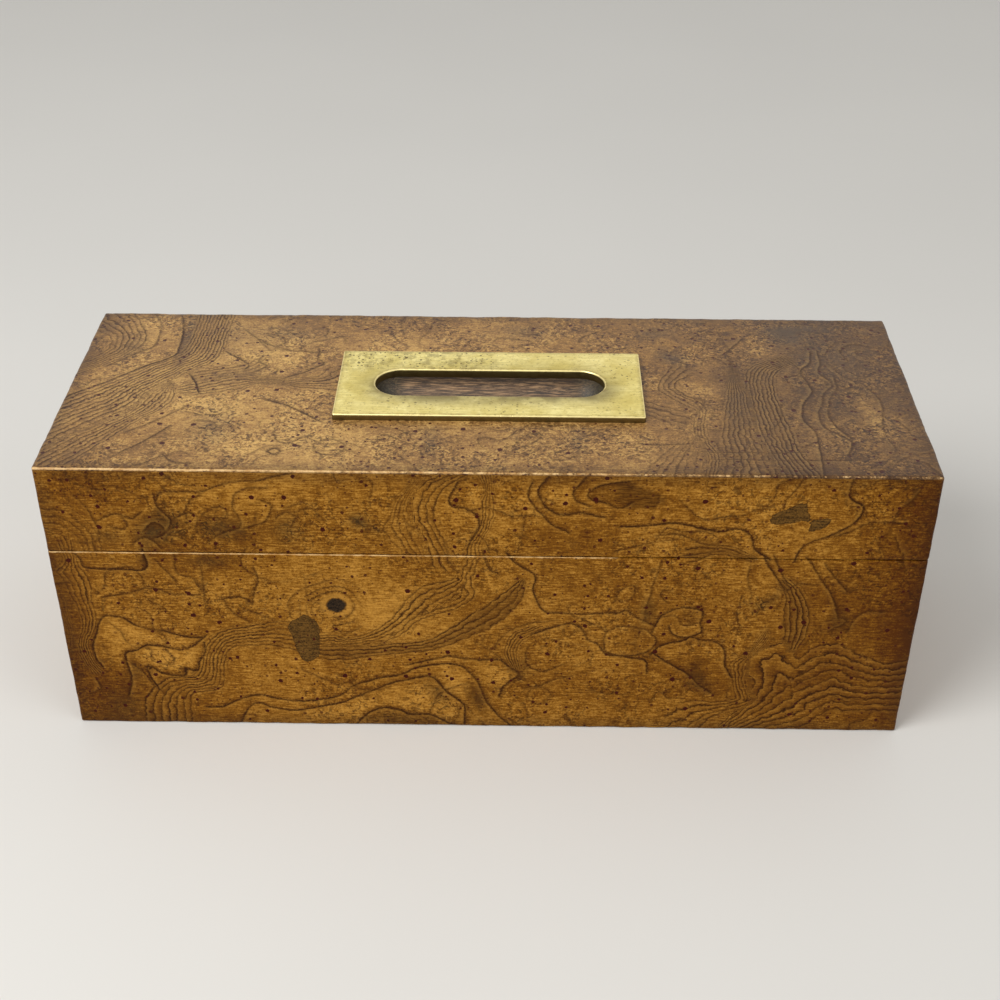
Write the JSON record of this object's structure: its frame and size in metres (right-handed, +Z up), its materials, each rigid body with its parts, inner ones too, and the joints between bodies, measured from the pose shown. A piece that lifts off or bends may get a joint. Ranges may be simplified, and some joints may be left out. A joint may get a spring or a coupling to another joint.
{
  "type": "desk box",
  "caption": "Long rectangular veneered wooden desk box with a shallow rear-hinged lid, opened by a finger groove under a slotted brass plate let into its top.",
  "frame": {"origin": "middle of the rectangle the box stands on, on the floor", "axes": "+X along the box's length, -Y towards its front, +Z up"},
  "size_m": [0.305, 0.111, 0.1163],
  "materials": {
    "burl_veneer": "swirling burl veneer under a worn satin polish",
    "mahogany": "dark-stained solid wood, oiled",
    "brass_plate": "aged brass, lightly pitted, worn bright at the edges",
    "hinge_brass": "plain satin brass",
    "felt": "dense dark green wool felt"
  },
  "bodies": {
    "base": {"base_front_board": "mahogany", "base_back_board": "mahogany", "base_left_board": "mahogany", "base_right_board": "mahogany", "base_bottom_board": "mahogany", "base_front_veneer": "burl_veneer", "base_back_veneer": "burl_veneer", "base_left_veneer": "burl_veneer", "base_right_veneer": "burl_veneer", "base_floor_lining": "felt", "base_underside_felt": "felt", "left_hinge_base_leaf": "hinge_brass", "right_hinge_base_leaf": "hinge_brass", "left_hinge_pin": "hinge_brass", "right_hinge_pin": "hinge_brass", "base_hinge_screws": "hinge_brass"},
    "lid": {"lid_front_board": "mahogany", "lid_back_board": "mahogany", "lid_left_board": "mahogany", "lid_right_board": "mahogany", "lid_top_board": "mahogany", "lid_front_veneer": "burl_veneer", "lid_back_veneer": "burl_veneer", "lid_left_veneer": "burl_veneer", "lid_right_veneer": "burl_veneer", "lid_top_veneer": "burl_veneer", "lid_lining": "felt", "pull_plate": "brass_plate", "left_hinge_lid_leaf": "hinge_brass", "right_hinge_lid_leaf": "hinge_brass", "lid_hinge_screws": "hinge_brass"}
  },
  "joints": [
    {"name": "lid_hinge", "type": "hinge", "parent": "base", "child": "lid", "pos_m": [0, 0.0531, 0.0795], "axis": [-1, 0, 0], "range_deg": [0, 97]}
  ]
}
